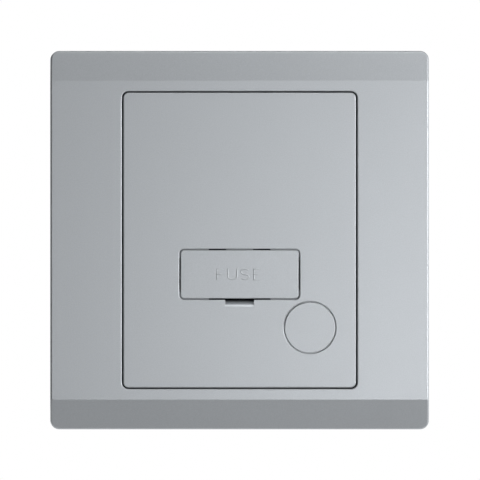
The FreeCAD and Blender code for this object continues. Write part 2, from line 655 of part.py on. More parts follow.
def fuse_cap():
    """The fuse's right end cap, a drawn cup."""
    end = FUSE_LENGTH / 2
    cup = cross_rod(FUSE_D / 2, end - FUSE_CAP_LENGTH, end, FUSE_Y, CARRIER_Z)
    inside_r = FUSE_D / 2 - FUSE_CAP_WALL
    inside = cross_rod(inside_r, end - FUSE_CAP_LENGTH - PAST, end - FUSE_CAP_END, FUSE_Y, CARRIER_Z)
    return cup.cut(inside)


def fuse_fork():
    """The right fuse contact without its strap: a U of strip whose arms stand above and below the cap."""
    middle_x = (FORK_NEAR_X + FORK_FAR_X) / 2
    width = FORK_FAR_X - FORK_NEAR_X
    outer = centred_block(width, 2 * FORK_OUTER, FORK_FRONT, STRAP_REAR, middle_x, CARRIER_Z)
    bends = [e for e in edges_on_plane(outer, STRAP_REAR) if e.BoundBox.XLength > TINY]
    outer = outer.makeFillet(FORK_BEND_R, bends)
    inner_w = width + 2 * PAST
    inner = centred_block(inner_w, 2 * FORK_INNER, FORK_FRONT - PAST, STRAP_FRONT, middle_x, CARRIER_Z)
    return outer.cut(inner)


def supply_contact():
    """The right fuse contact, whose strap rises and steps right to the supply line terminal."""
    foot = LINE_STRAP_W / 2
    end_z = ROW_Z + TERMINAL_H / 2 - LINK_SHORT
    step_low = CARRIER_Z + FORK_INNER + LINE_STRAP_W * 2
    step_high = ROW_Z - TERMINAL_H / 2
    strap = front_profile(
        [
            (FORK_NEAR_X, CARRIER_Z), (FORK_FAR_X, CARRIER_Z), (FORK_FAR_X, step_low),
            (OUTER_X + foot, step_high), (OUTER_X + foot, end_z), (OUTER_X - foot, end_z),
            (OUTER_X - foot, step_high), (FORK_NEAR_X, step_low),
        ],
        STRAP_FRONT, STRAP_REAR,
    )
    return fuse_fork().fuse(strap).removeSplitter()


def load_contact():
    """The left fuse contact, whose strap drops and steps right to the load line terminal."""
    foot = LINE_STRAP_W / 2
    end_z = -ROW_Z - TERMINAL_H / 2 + LINK_SHORT
    step_high = CARRIER_Z - FORK_OUTER
    step_low = -ROW_Z + TERMINAL_H / 2
    strap = front_profile(
        [
            (-FORK_FAR_X, CARRIER_Z), (-FORK_NEAR_X, CARRIER_Z), (-FORK_NEAR_X, step_high),
            (-PAIR_X + foot, step_low), (-PAIR_X + foot, end_z), (-PAIR_X - foot, end_z),
            (-PAIR_X - foot, step_low), (-FORK_FAR_X, step_high),
        ],
        STRAP_FRONT, STRAP_REAR,
    )
    return mirrored(fuse_fork()).fuse(strap).removeSplitter()


def straight_link(x, width):
    """A flat link that joins the upper and lower terminals of one conductor."""
    end_z = ROW_Z + TERMINAL_H / 2 - LINK_SHORT
    return centred_block(width, 2 * end_z, STRAP_FRONT, STRAP_REAR, x, 0.0)


def terminal(x, end):
    """A pillar terminal: brass block, bore for the wire along Z, and threaded hole for the screw."""
    z = end * ROW_Z
    solid = centred_block(TERMINAL_W, TERMINAL_H, STRAP_REAR, TERMINAL_REAR, x, z)
    half = TERMINAL_H / 2 + PAST
    bore = upright_rod(TERMINAL_BORE_R, z - half, z + half, x, BORE_Y)
    hole = rod(TERMINAL_SCREW_R + TERMINAL_SCREW_PLAY, BORE_Y, TERMINAL_REAR + PAST, x, z)
    return solid.cut([bore, hole])


def driver_slot(head_rear, radius, x, z):
    """A straight slot across a screw head that faces the rear."""
    return centred_block(2 * radius + PAST, SLOT_W, head_rear - SLOT_DEPTH, head_rear + PAST, x, z)


def driver_cross(head_rear, x, z):
    """A cross recess in a screw head that faces the rear."""
    across = centred_block(2 * CROSS_ARM, SLOT_W, head_rear - SLOT_DEPTH, head_rear + PAST, x, z)
    upright = centred_block(SLOT_W, 2 * CROSS_ARM, head_rear - SLOT_DEPTH, head_rear + PAST, x, z)
    return across.fuse(upright)


def terminal_screws():
    """Six slotted screws, each with its tip just short of the bore."""
    screws = []
    under = TERMINAL_REAR + TERMINAL_HEAD_LIFT
    top = under + TERMINAL_HEAD
    for x, end in TERMINALS.values():
        z = end * ROW_Z
        shank = rod(TERMINAL_SCREW_R, SCREW_TIP_Y, under, x, z)
        head = rod(TERMINAL_HEAD_R, under, top, x, z)
        screws.append(shank.fuse(head).cut(driver_slot(top, TERMINAL_HEAD_R, x, z)))
    return Part.makeCompound(screws)


def case_screws():
    """Four screws from the rear that draw the base and the cover together over the yoke."""
    screws = []
    top = CASE_HEAD_SEAT + CASE_HEAD
    for x, z in CASE_SCREWS:
        shank = rod(CASE_SCREW_R, BOSS_END_Y - CASE_SCREW_BITE, CASE_HEAD_SEAT, x, z)
        head = rod(CASE_HEAD_R, CASE_HEAD_SEAT, top, x, z)
        screws.append(shank.fuse(head).cut(driver_cross(top, x, z)))
    return Part.makeCompound(screws)


def fixing_screws():
    """The two screws to the wall box, sunk in the yoke, with their thread behind the wall plane."""
    screws = []
    under = -FIXING_HEAD_SEAT
    front = under - FIXING_HEAD
    for side in (-1, 1):
        x = side * FIXING_PITCH / 2
        head = rod(FIXING_HEAD_R, front, under, x, 0.0)
        neck = rod(FIXING_NECK_R, under, 0.0, x, 0.0)
        thread = rod(FIXING_R, 0.0, FIXING_LENGTH, x, 0.0)
        slot = centred_block(2 * FIXING_HEAD_R + PAST, SLOT_W, front - PAST, front + SLOT_DEPTH, x, 0.0)
        screws.append(head.fuse([neck, thread]).cut(slot))
    return Part.makeCompound(screws)


def cord_clamp():
    """The cord clamp's bar, arched over the flex."""
    top = CLAMP_BAR_Y + CLAMP_BAR
    solid = rounded_slab(CLAMP_BAR_L, CLAMP_BAR_W, CLAMP_BAR_R, CLAMP_BAR_Y, top, CLAMP_X, CLAMP_Z)
    arch_r = (CLAMP_ARCH_W ** 2 / 4 + CLAMP_ARCH ** 2) / (2 * CLAMP_ARCH)
    half = CLAMP_BAR_W / 2 + PAST
    arch_y = CLAMP_BAR_Y + CLAMP_ARCH - arch_r
    cuts = [upright_rod(arch_r, CLAMP_Z - half, CLAMP_Z + half, CLAMP_X, arch_y)]
    for x, z in CLAMP_SCREWS:
        cuts.append(rod(CLAMP_SCREW_R + CASE_HOLE_PLAY, CLAMP_BAR_Y - PAST, top + PAST, x, z))
    return solid.cut(cuts)


def cord_clamp_screws():
    """Two screws that press the clamp bar to its posts."""
    screws = []
    under = CLAMP_BAR_Y + CLAMP_BAR
    top = under + CLAMP_HEAD
    for x, z in CLAMP_SCREWS:
        shank = rod(CLAMP_SCREW_R, CLAMP_BAR_Y - CLAMP_SCREW_IN, under, x, z)
        head = rod(CLAMP_HEAD_R, under, top, x, z)
        screws.append(shank.fuse(head).cut(driver_cross(top, x, z)))
    return Part.makeCompound(screws)


def flex_outlet_plug():
    """The round blanking plug: a thin flange on a hollow spigot."""
    flange_rear = FACE_Y + PLUG_FLANGE
    flange = rod(PLUG_R, FACE_Y, flange_rear, OUTLET_X, OUTLET_Z)
    flange = flange.makeFillet(PLUG_EDGE_R, edges_on_plane(flange, FACE_Y))
    spigot_r = OUTLET_R - PLUG_GAP
    spigot = rod(spigot_r, flange_rear, PLUG_SPIGOT_REAR, OUTLET_X, OUTLET_Z)
    hollow_r = spigot_r - PLUG_SPIGOT_WALL
    hollow = rod(hollow_r, flange_rear + PLUG_FLANGE, PLUG_SPIGOT_REAR + PAST, OUTLET_X, OUTLET_Z)
    return flange.fuse(spigot).cut(hollow)


def build_parts():
    """Every sub-part by node name."""
    parts = {
        "outer_frame": outer_frame(),
        "centre_cover": centre_cover(),
        "mounting_yoke": mounting_yoke(),
        "rear_base": rear_base(),
        "fuse_carrier": fuse_carrier(),
        "fuse_barrel": fuse_barrel(),
        "fuse_cap_right": fuse_cap(),
        "fuse_cap_left": mirrored(fuse_cap()),
        "supply_contact": supply_contact(),
        "load_contact": load_contact(),
        "neutral_link": straight_link(-OUTER_X, NEUTRAL_LINK_W),
        "earth_link": straight_link(PAIR_X / 2, EARTH_LINK_W),
        "terminal_screws": terminal_screws(),
        "case_screws": case_screws(),
        "fixing_screws": fixing_screws(),
        "cord_clamp": cord_clamp(),
        "cord_clamp_screws": cord_clamp_screws(),
        "flex_outlet_plug": flex_outlet_plug(),
    }
    for name, (x, end) in TERMINALS.items():
        parts[name] = terminal(x, end)
    return parts


def main():
    """Write one STEP file per node."""
    os.makedirs("parts", exist_ok=True)
    for name, shape in build_parts().items():
        shape.exportStep(f"parts/{name}.step")


main()
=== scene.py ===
"""A fused spur unit: silver plate with a pull-out fuse carrier and a blanking plug, and its wiring side.

Metres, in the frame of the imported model: X to the right, Z up, +Y into the wall.
"""

import math

import bpy
import numpy as np
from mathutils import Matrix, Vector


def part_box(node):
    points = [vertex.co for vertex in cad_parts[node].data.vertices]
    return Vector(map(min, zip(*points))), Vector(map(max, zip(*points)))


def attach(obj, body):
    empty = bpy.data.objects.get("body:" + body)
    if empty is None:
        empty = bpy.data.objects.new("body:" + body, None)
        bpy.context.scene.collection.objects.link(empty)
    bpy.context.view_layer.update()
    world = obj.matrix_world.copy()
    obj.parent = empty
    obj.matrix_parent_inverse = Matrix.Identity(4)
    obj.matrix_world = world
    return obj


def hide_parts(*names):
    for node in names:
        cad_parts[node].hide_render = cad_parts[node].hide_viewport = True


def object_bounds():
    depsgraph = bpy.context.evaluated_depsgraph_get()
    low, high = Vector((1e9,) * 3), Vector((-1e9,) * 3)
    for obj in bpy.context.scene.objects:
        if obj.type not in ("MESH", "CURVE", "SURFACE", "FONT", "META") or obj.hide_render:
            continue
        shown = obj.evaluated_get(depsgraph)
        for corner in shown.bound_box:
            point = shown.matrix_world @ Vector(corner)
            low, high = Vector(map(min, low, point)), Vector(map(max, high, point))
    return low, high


MM = 0.001

# The photograph's frame: its width at the plate's face, and the pixel on which the plate is centred
PHOTO_PIXELS = 480
PHOTO_WIDTH = 109.0 * MM
PLATE_CENTRE_PX = (239.6, 240.13)
CAMERA_DISTANCE = 2.0
CAMERA_REACH = 20.0
SENSOR_MM = 36.0

# The studio: a white room, a pale floor that fades out into it, a dim wall behind the camera, and two dark
# cards, one upright at the left and one flat overhead
ROOM_WHITE = "#FFFFFF"
ROOM_LIGHT = 0.6
FLOOR_PALE = "#F0F0F0"
FLOOR_LIFT = 0.25
FLOOR_Z = -120 * MM
FLOOR_RADIUS = 0.90
FLOOR_SOLID = 0.30
FLOOR_RINGS = 24
FLOOR_SPOKES = 96
WALL_DIM = "#7C7C7C"
WALL_Y = -2.6
WALL_WIDTH = 9.0
WALL_HEIGHT = 6.0
CARD_DARK = "#1C1C1C"
LEFT_CARD_X = -0.28
LEFT_CARD_WIDTH = 0.60
LEFT_CARD_HEIGHT = 0.50
TOP_CARD_Z = 0.80
TOP_CARD_WIDTH = 1.20
TOP_CARD_FRONT = -0.30
TOP_CARD_REAR = 0.90

# The lamps, all square and aimed at the middle of the plate: place, side and watts
LAMPS = {
    "key": ((0.10, -0.55, -0.05), 0.12, 0.45),
    "upper": ((0.12, -0.25, 0.16), 0.12, 0.078),
    "side": ((0.72, -0.58, 0.08), 0.30, 4.3),
    "over": ((0.05, -0.26, 0.40), 0.24, 0.45),
    "rear": ((-0.5, 0.8, 0.55), 0.5, 3.2),
}

# Shared by the finishes: the stretch in which most of a noise's values lie, the samples that round an edge,
# and how far the flow of a moulding moves its roughness
NOISE_LOW = 0.3
NOISE_HIGH = 0.7
EDGE_SAMPLES = 6
MOULDING_SPREAD = 0.04

# Painted shade in recesses: the dark colour painted there, how far off a wall may stand and
# still shade a spot, and the shares of open sky and the depths behind the face between which the painted
# shade sets in
PAINTED_RECESS_SHADE = "#1E2022"
RECESS_REACH = 2.5 * MM
RECESS_SAMPLES = 8
RECESS_OPEN = (0.55, 0.93)
RECESS_DEPTH = (0.85 * MM, 1.30 * MM)

# Raised letters in millimetres, as strokes of one width, which at a corner widen to at most 1 / LETTER_MITRE
LETTER_STROKE = 0.42
LETTER_SLOPE = 0.16
LETTER_SUNK = 0.03
LETTER_MITRE = 0.3
ARC_STEPS = 9

# Which way along Y a face with letters looks
FRONT = -1
REAR = 1

# The function word on the fuse carrier, in millimetres: each letter's left edge from the centre, and width
CARRIER_WORD = {"F": (-5.40, 1.75), "U": (-2.88, 2.50), "S": (0.08, 2.25), "E": (3.02, 1.65)}
CARRIER_WORD_HEIGHT = 2.78
CARRIER_WORD_RELIEF = 0.055

# Marks on the wiring side, in millimetres
MARK_HEIGHT = 2.8
MARK_RELIEF = 0.3
MARK_STROKE = 0.34
MARK_OFF_TERMINAL = 1.6
MARK_LETTER_WIDTH = 1.75
MARK_LETTER_STEP = 2.35
TERMINAL_MARKS = {
    "supply_neutral_terminal": ["N"],
    "supply_earth_terminal": ["earth"],
    "supply_line_terminal": ["L"],
    "load_neutral_terminal": ["N"],
    "load_line_terminal": ["L"],
    "load_earth_terminal": ["earth"],
}
SIDE_WORDS = {
    "SUPPLY": ("supply_earth_terminal", "supply_line_terminal"),
    "LOAD": ("load_neutral_terminal", "load_line_terminal"),
}

# Box screws: a 3.5 mm thread of 0.6 mm pitch behind the wall's plane, and a slotted head, whose halves lap
# into its disc
WALL_PLANE_Y = 0.0
THREAD_PITCH = 0.6 * MM
THREAD_ROOT = 1.42 * MM
THREAD_CREST = 1.75 * MM
THREAD_POINT = 1.5 * MM
NECK_R = 1.45 * MM
THREAD_SEGMENTS = 28
THREAD_RINGS_PER_TURN = 8
THREAD_TIP = 0.4 * MM
THREAD_TIP_TAPER = 0.3 * MM
HEAD_THICK = 1.6 * MM
HEAD_EDGE = 0.45 * MM
HEAD_EASE = 0.1 * MM
HEAD_LAP = 0.02 * MM
NECK_PAST_WALL = 0.3 * MM
HEAD_SEGMENTS = 40
HEAD_EDGE_STEPS = 5
SLOT_WIDTH = 0.8 * MM
SLOT_DEPTH = 0.8 * MM

# Edges that turn by more than this stay sharp on the new pieces
SHARP_ANGLE = math.radians(35.0)


def linear(colour):
    """An sRGB hex colour as linear RGBA.

    A channel c over 0.04045 is ((c + 0.055) / 1.055) to the power 2.4, and a darker one is c / 12.92.
    """
    channels = [int(colour[i:i + 2], 16) / 255 for i in (1, 3, 5)]
    return tuple(c / 12.92 if c <= 0.04045 else ((c + 0.055) / 1.055) ** 2.4 for c in channels) + (1.0,)


def per_mm(size):
    """The scale of a noise whose features are this many millimetres across."""
    return 1 / (size * MM)


def add(tree, kind, values=None, links=None, stops=(), **attributes):
    """Add a node with its attributes, its ramp's stops, its sockets' values and the links into them."""
    made = tree.nodes.new(kind)
    for name, value in attributes.items():
        setattr(made, name, value)
    for i, (position, colour) in enumerate(stops):
        made.color_ramp.elements[i].position = position
        made.color_ramp.elements[i].color = linear(colour)
    for socket, value in (values or {}).items():
        made.inputs[socket].default_value = value
    for socket, source in (links or {}).items():
        tree.links.new(source, made.inputs[socket])
    return made


def new_material(name):
    """An empty node material, and its tree."""
    material = bpy.data.materials.new(name)
    material.use_nodes = True
    material.node_tree.nodes.clear()
    return material, material.node_tree


def finish_material(tree, shader):
    """Join a shader to the material's output."""
    add(tree, "ShaderNodeOutputMaterial", links={"Surface": shader})


def painted_shade_mask(tree, place):
    """Painted shade for recesses, as the share of the plain tone that a spot keeps: all in the open or near
    the face, none deep in a recess.

    It is the greater of two ramps: one rises with the share of open sky, and one falls with depth.
    """
    face_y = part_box("centre_cover")[0].y
    # Painted shade: ambient occlusion finds the spots with little open sky, which the material darkens
    sky = add(tree, "ShaderNodeAmbientOcclusion", {"Distance": RECESS_REACH}, samples=RECESS_SAMPLES)
    unshaded_by_sky = add(
        tree, "ShaderNodeMapRange", {"From Min": RECESS_OPEN[0], "From Max": RECESS_OPEN[1]},
        {"Value": sky.outputs["AO"]},
    )
    along = add(tree, "ShaderNodeSeparateXYZ", links={"Vector": place})
    unshaded_near_face = add(
        tree, "ShaderNodeMapRange",
        {
            "From Min": face_y + RECESS_DEPTH[0], "From Max": face_y + RECESS_DEPTH[1],
            "To Min": 1.0, "To Max": 0.0,
        },
        {"Value": along.outputs["Y"]},
    )
    # Painted shade: where both ramps are low, the spot takes the dark recess colour
    cover = add(
        tree, "ShaderNodeMath", links={0: unshaded_by_sky.outputs["Result"], 1: unshaded_near_face.outputs["Result"]},
        operation="MAXIMUM",
    )
    return cover.outputs["Value"]


def silver_lacquered_abs():
    """ABS under a silver lacquer: aluminium flake gives a broad sheen, and the film is smooth to the eye.

    Deep in narrow recesses an ambient-occlusion mask darkens the colour to a near-black grey: painted shade.
    Real flake of about 0.03 mm is too fine to show, so it is drawn a pixel of the photograph across.
    """
    flake_mm = 0.22
    ripple_mm = 9.0
    edge_mm = 0.06
    material, tree = new_material("silver_lacquered_abs")
    place = add(tree, "ShaderNodeTexCoord").outputs["Object"]
    flake = add(tree, "ShaderNodeTexNoise", {"Scale": per_mm(flake_mm), "Detail": 2.0}, {"Vector": place})
    film = add(tree, "ShaderNodeTexNoise", {"Scale": per_mm(ripple_mm), "Detail": 2.0}, {"Vector": place})
    tone = add(
        tree, "ShaderNodeValToRGB", links={"Fac": flake.outputs["Fac"]},
        stops=((NOISE_LOW, "#A9ADB1"), (NOISE_HIGH, "#B1B5B9")),
    )
    # Painted shade: the flake tone turns to a near-black grey where the mask is low, deep in recesses
    tone_with_painted_shade = add(
        tree, "ShaderNodeMix", {"A": linear(PAINTED_RECESS_SHADE)},
        {"Factor": painted_shade_mask(tree, place), "B": tone.outputs["Color"]}, data_type="RGBA",
    )
    gloss = add(
        tree, "ShaderNodeMapRange",
        {"From Min": NOISE_LOW, "From Max": NOISE_HIGH, "To Min": 0.415, "To Max": 0.425},
        {"Value": film.outputs["Fac"]},
    )
    rounding = add(tree, "ShaderNodeBevel", {"Radius": edge_mm * MM}, samples=EDGE_SAMPLES)
    grain = add(
        tree, "ShaderNodeBump", {"Strength": 0.10, "Distance": 0.004 * MM},
        {"Height": flake.outputs["Fac"], "Normal": rounding.outputs["Normal"]},
    )
    shader = add(
        tree, "ShaderNodeBsdfPrincipled", {"Metallic": 0.8},
        {
            "Base Color": tone_with_painted_shade.outputs["Result"],
            "Roughness": gloss.outputs["Result"],
            "Normal": grain.outputs["Normal"],
        },
    )
    finish_material(tree, shader.outputs["BSDF"])
    return material


def moulded_plastic(name, dark, light, roughness, ior, cloud_mm, grain_mm, grain_depth_mm, edge_mm):
    """A moulded plastic: faint clouds of colour and gloss from the flow, fine grain, and softened edges."""
    material, tree = new_material(name)
    place = add(tree, "ShaderNodeTexCoord").outputs["Object"]
    cloud = add(tree, "ShaderNodeTexNoise", {"Scale": per_mm(cloud_mm), "Detail": 3.0}, {"Vector": place})
    fine = add(tree, "ShaderNodeTexNoise", {"Scale": per_mm(grain_mm), "Detail": 2.0}, {"Vector": place})
    tone = add(
        tree, "ShaderNodeValToRGB", links={"Fac": cloud.outputs["Fac"]},
        stops=((0.35, dark), (0.65, light)),
    )
    gloss = add(
        tree, "ShaderNodeMapRange",
        {
            "From Min": NOISE_LOW, "From Max": NOISE_HIGH,
            "To Min": roughness - MOULDING_SPREAD, "To Max": roughness + MOULDING_SPREAD,
        },
        {"Value": cloud.outputs["Fac"]},
    )
    rounding = add(tree, "ShaderNodeBevel", {"Radius": edge_mm * MM}, samples=EDGE_SAMPLES)
    grain = add(
        tree, "ShaderNodeBump", {"Strength": 0.5, "Distance": grain_depth_mm * MM},
        {"Height": fine.outputs["Fac"], "Normal": rounding.outputs["Normal"]},
    )
    shader = add(
        tree, "ShaderNodeBsdfPrincipled", {"IOR": ior},
        {
            "Base Color": tone.outputs["Color"],
            "Roughness": gloss.outputs["Result"],
            "Normal": grain.outputs["Normal"],
        },
    )
    finish_material(tree, shader.outputs["BSDF"])
    return material


def grey_polycarbonate():
    """Moulded grey polycarbonate: a little satin, with the faint grain of a spark-eroded mould."""
    return moulded_plastic(
        "grey_polycarbonate", dark="#5F6367", light="#676B6F", roughness=0.42, ior=1.585,
        cloud_mm=14.0, grain_mm=0.35, grain_depth_mm=0.02, edge_mm=0.15,
    )


def white_urea():
    """Moulded urea formaldehyde: dense, hard and cool white, with a gloss that the mould leaves uneven."""
    return moulded_plastic(
        "white_urea", dark="#E5E6E4", light="#ECEDEB", roughness=0.30, ior=1.55,
        cloud_mm=11.0, grain_mm=0.6, grain_depth_mm=0.012, edge_mm=0.18,
    )


def fuse_ceramic():
    """A fuse's tube of fired steatite: off-white and matt, with a few darker specks of the body."""
    speck_mm = 0.5
    material, tree = new_material("fuse_ceramic")
    place = add(tree, "ShaderNodeTexCoord").outputs["Object"]
    speck = add(tree, "ShaderNodeTexNoise", {"Scale": per_mm(speck_mm), "Detail": 4.0}, {"Vector": place})
    tone = add(
        tree, "ShaderNodeValToRGB", links={"Fac": speck.outputs["Fac"]},
        stops=((0.28, "#CFC8BA"), (0.42, "#E8E3D8")),
    )
    grain = add(
        tree, "ShaderNodeBump", {"Strength": 0.4, "Distance": 0.02 * MM}, {"Height": speck.outputs["Fac"]},
    )
    shader = add(
        tree, "ShaderNodeBsdfPrincipled", {"Roughness": 0.48, "IOR": 1.58},
        {"Base Color": tone.outputs["Color"], "Normal": grain.outputs["Normal"]},
    )
    finish_material(tree, shader.outputs["BSDF"])
    return material


def worked_metal(name, dark, light, roughness, spread, line_mm, stretch, line_depth_mm, edge_mm):
    """A metal with fine lines from rolling, drawing or turning, and slightly uneven tarnish."""
    tarnish_mm = 3.0
    material, tree = new_material(name)
    place = add(tree, "ShaderNodeTexCoord").outputs["Object"]
    drawn = add(tree, "ShaderNodeMapping", {"Scale": stretch}, {"Vector": place})
    line = add(
        tree, "ShaderNodeTexNoise", {"Scale": per_mm(line_mm), "Detail": 3.0},
        {"Vector": drawn.outputs["Vector"]},
    )
    tarnish = add(
        tree, "ShaderNodeTexNoise", {"Scale": per_mm(tarnish_mm), "Detail": 4.0}, {"Vector": place},
    )
    tone = add(
        tree, "ShaderNodeValToRGB", links={"Fac": tarnish.outputs["Fac"]},
        stops=((0.32, dark), (0.62, light)),
    )
    gloss = add(
        tree, "ShaderNodeMapRange",
        {
            "From Min": NOISE_LOW, "From Max": NOISE_HIGH,
            "To Min": roughness - spread, "To Max": roughness + spread,
        },
        {"Value": line.outputs["Fac"]},
    )
    rounding = add(tree, "ShaderNodeBevel", {"Radius": edge_mm * MM}, samples=EDGE_SAMPLES)
    scratches = add(
        tree, "ShaderNodeBump", {"Strength": 0.6, "Distance": line_depth_mm * MM},
        {"Height": line.outputs["Fac"], "Normal": rounding.outputs["Normal"]},
    )
    shader = add(
        tree, "ShaderNodeBsdfPrincipled", {"Metallic": 1.0},
        {
            "Base Color": tone.outputs["Color"],
            "Roughness": gloss.outputs["Result"],
            "Normal": scratches.outputs["Normal"],
        },
    )
    finish_material(tree, shader.outputs["BSDF"])
    return material


def nickel_plate():
    """Nickel-plated brass caps: warm grey, bright, with faint draw lines along the cap."""
    return worked_metal(
        "nickel_plate", dark="#ABA595", light="#C4BEB0", roughness=0.24, spread=0.05,
        line_mm=0.15, stretch=(0.1, 1.0, 1.0), line_depth_mm=0.006, edge_mm=0.05,
    )


def contact_bronze():
    """Phosphor bronze strip: reddish brown-gold, with rolling lines and a light tarnish."""
    return worked_metal(
        "contact_bronze", dark="#9C6A45", light="#C08A5C", roughness=0.32, spread=0.07,
        line_mm=0.18, stretch=(1.0, 1.0, 0.08), line_depth_mm=0.006, edge_mm=0.08,
    )


def terminal_brass():
    """Extruded brass pillars: yellow, cut to length, with fine saw and drawing lines."""
    return worked_metal(
        "terminal_brass", dark="#B08E4E", light="#CDAB63", roughness=0.30, spread=0.06,
        line_mm=0.16, stretch=(1.0, 1.0, 0.12), line_depth_mm=0.008, edge_mm=0.12,
    )


def zinc_steel():
    """Zinc-plated steel screws under clear passivate: cool grey with an uneven satin gloss."""
    return worked_metal(
        "zinc_steel", dark="#9AA0A8", light="#BCC1C7", roughness=0.30, spread=0.06,
        line_mm=0.25, stretch=(1.0, 1.0, 1.0), line_depth_mm=0.006, edge_mm=0.08,
    )


FINISHES = {
    "silver_abs": silver_lacquered_abs,
    "grey_polycarbonate": grey_polycarbonate,
    "white_urea": white_urea,
    "fuse_ceramic": fuse_ceramic,
    "nickel_plate": nickel_plate,
    "contact_bronze": contact_bronze,
    "terminal_brass": terminal_brass,
    "zinc_steel": zinc_steel,
}


def wrapped_quads(rings, around):
    """The quads between rings of points that follow each other and wrap round, as rows of four corners."""
    ring = np.arange(rings - 1)[:, None] * around
    point = np.arange(around)[None, :]
    after = (point + 1) % around
    quads = np.stack([ring + point, ring + after, ring + around + after, ring + around + point], axis=-1)
    return quads.reshape(-1, 4)


def tube_faces(rings, around, start):
    """The faces of a tube whose points count from start: its quads, and a flat cap at each end."""
    faces = (wrapped_quads(rings, around) + start).tolist()
    first = (np.arange(around)[::-1] + start).tolist()
    last = (np.arange(around) + (rings - 1) * around + start).tolist()
    return faces + [first, last]


def mesh_piece(name, tubes, material, body):
    """One object from closed tubes, each an array of rings by points by three, that rides on a body."""
    points = []
    faces = []
    start = 0
    for tube in tubes:
        rings, around = tube.shape[:2]
        points.append(tube.reshape(-1, 3))
        faces += tube_faces(rings, around, start)
        start += rings * around
    mesh = bpy.data.meshes.new(name)
    mesh.from_pydata(np.concatenate(points).tolist(), [], faces)
    mesh.polygons.foreach_set("use_smooth", np.ones(len(faces), dtype=bool))
    mesh.set_sharp_from_angle(angle=SHARP_ANGLE)
    mesh.materials.append(material)
    piece = bpy.data.objects.new(name, mesh)
    bpy.context.scene.collection.objects.link(piece)
    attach(piece, body)
    return piece


def bar(*corners):
    """A stroke of straight runs, on a letter that is one unit wide and one high."""
    return np.array(corners, dtype=float)


def arc(centre, radii, start, end):
    """A stroke along an ellipse: centre plus radii times (cos a, sin a), a from start to end in degrees."""
    angles = np.radians(np.linspace(start, end, ARC_STEPS))
    return np.stack([centre[0] + radii[0] * np.cos(angles), centre[1] + radii[1] * np.sin(angles)], axis=-1)


def glyphs():
    """The strokes of each letter and of the earth sign."""
    bowl = arc((0.5, 0.32), (0.5, 0.32), 180, 360)
    s_top = arc((0.5, 0.745), (0.5, 0.255), 35, 270)
    s_low = arc((0.5, 0.245), (0.5, 0.255), 90, -145)
    p_bowl = np.concatenate([bar((0, 1)), arc((0.55, 0.74), (0.45, 0.26), 90, -90), bar((0, 0.48))])
    d_bowl = np.concatenate([bar((0, 1)), arc((0.4, 0.5), (0.6, 0.5), 90, -90), bar((0, 0))])
    return {
        "F": [bar((0, 0), (0, 1), (1, 1)), bar((0, 0.5), (0.85, 0.5))],
        "U": [np.concatenate([bar((0, 1)), bowl, bar((1, 1))])],
        "S": [np.concatenate([s_top, s_low[1:]])],
        "E": [bar((1, 1), (0, 1), (0, 0), (1, 0)), bar((0, 0.5), (0.85, 0.5))],
        "L": [bar((0, 1), (0, 0), (1, 0))],
        "N": [bar((0, 0), (0, 1), (1, 0), (1, 1))],
        "P": [bar((0, 0), (0, 1)), p_bowl],
        "Y": [bar((0, 1), (0.5, 0.5), (1, 1)), bar((0.5, 0.5), (0.5, 0))],
        "O": [arc((0.5, 0.5), (0.5, 0.5), 90, 450)],
        "A": [bar((0, 0), (0.5, 1), (1, 0)), bar((0.2, 0.36), (0.8, 0.36))],
        "D": [bar((0, 1), (0, 0)), d_bowl],
        "earth": [
            bar((0.5, 1), (0.5, 0.5)), bar((0, 0.5), (1, 0.5)), bar((0.2, 0.25), (0.8, 0.25)),
            bar((0.38, 0), (0.62, 0)),
        ],
    }


def raised_stroke(path, stroke, slope, relief, sunk):
    """A ridge along a flat path, as rings of (across, along, height).

    At each point the section is a trapezium, its foot a stroke wide and sunk in the surface, its top
    narrower by the slope on each side. It is set across the mean of the two runs' directions and widened by
    one over the cosine of half the turn, up to a limit, so that both runs keep their width. The two end
    rings lie at the foot, a slope further out, so the ends slope too.
    """
    runs = np.diff(path, axis=0)
    runs /= np.linalg.norm(runs, axis=1)[:, None]
    ahead = np.concatenate([runs, runs[-1:]])
    behind = np.concatenate([runs[:1], runs])
    mean = ahead + behind
    mean /= np.linalg.norm(mean, axis=1)[:, None]
    widen = 1 / np.maximum((mean * ahead).sum(axis=1), LETTER_MITRE)
    across = np.stack([mean[:, 1], -mean[:, 0]], axis=-1) * widen[:, None]
    offsets = np.array([-stroke / 2, -stroke / 2 + slope, stroke / 2 - slope, stroke / 2])
    heights = np.array([-sunk, relief, relief, -sunk])
    flat = path[:, None, :] + across[:, None, :] * offsets[None, :, None]
    tall = np.broadcast_to(heights[None, :, None], flat.shape[:2] + (1,))
    rings = np.concatenate([flat, tall], axis=-1)
    first = rings[0].copy()
    last = rings[-1].copy()
    first[:, :2] -= behind[0] * slope
    last[:, :2] += ahead[-1] * slope
    first[:, 2] = -sunk
    last[:, 2] = -sunk
    return np.concatenate([first[None], rings, last[None]])


def letter_ridges(name, left, width, low, height, relief, stroke, face_y, facing):
    """A letter's ridges on a face across Y, in metres, from sizes in millimetres; facing is FRONT or REAR.

    Left is its left edge as a reader sees it, so on the rear X runs the other way.
    """
    margin = np.array([stroke / 2, stroke / 2])
    room = np.array([width - stroke, height - stroke])
    slope = LETTER_SLOPE * stroke / LETTER_STROKE
    ridges = []
    for path in glyphs()[name]:
        rings = raised_stroke(path * room + margin, stroke, slope, relief, LETTER_SUNK)
        x = -facing * (left + rings[..., 0]) * MM
        y = face_y + facing * rings[..., 2] * MM
        z = (low + rings[..., 1]) * MM
        ridges.append(np.stack([x, y, z], axis=-1))
    return ridges


def carrier_word(silver):
    """The function word that the fuse carrier has in low relief."""
    low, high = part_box("fuse_carrier")
    foot = (low.z + high.z) / 2 / MM - CARRIER_WORD_HEIGHT / 2
    ridges = []
    for letter, (left, width) in CARRIER_WORD.items():
        ridges += letter_ridges(
            letter, left, width, foot, CARRIER_WORD_HEIGHT, CARRIER_WORD_RELIEF, LETTER_STROKE, low.y,
            FRONT,
        )
    return mesh_piece("carrier_word", ridges, silver, "carrier")


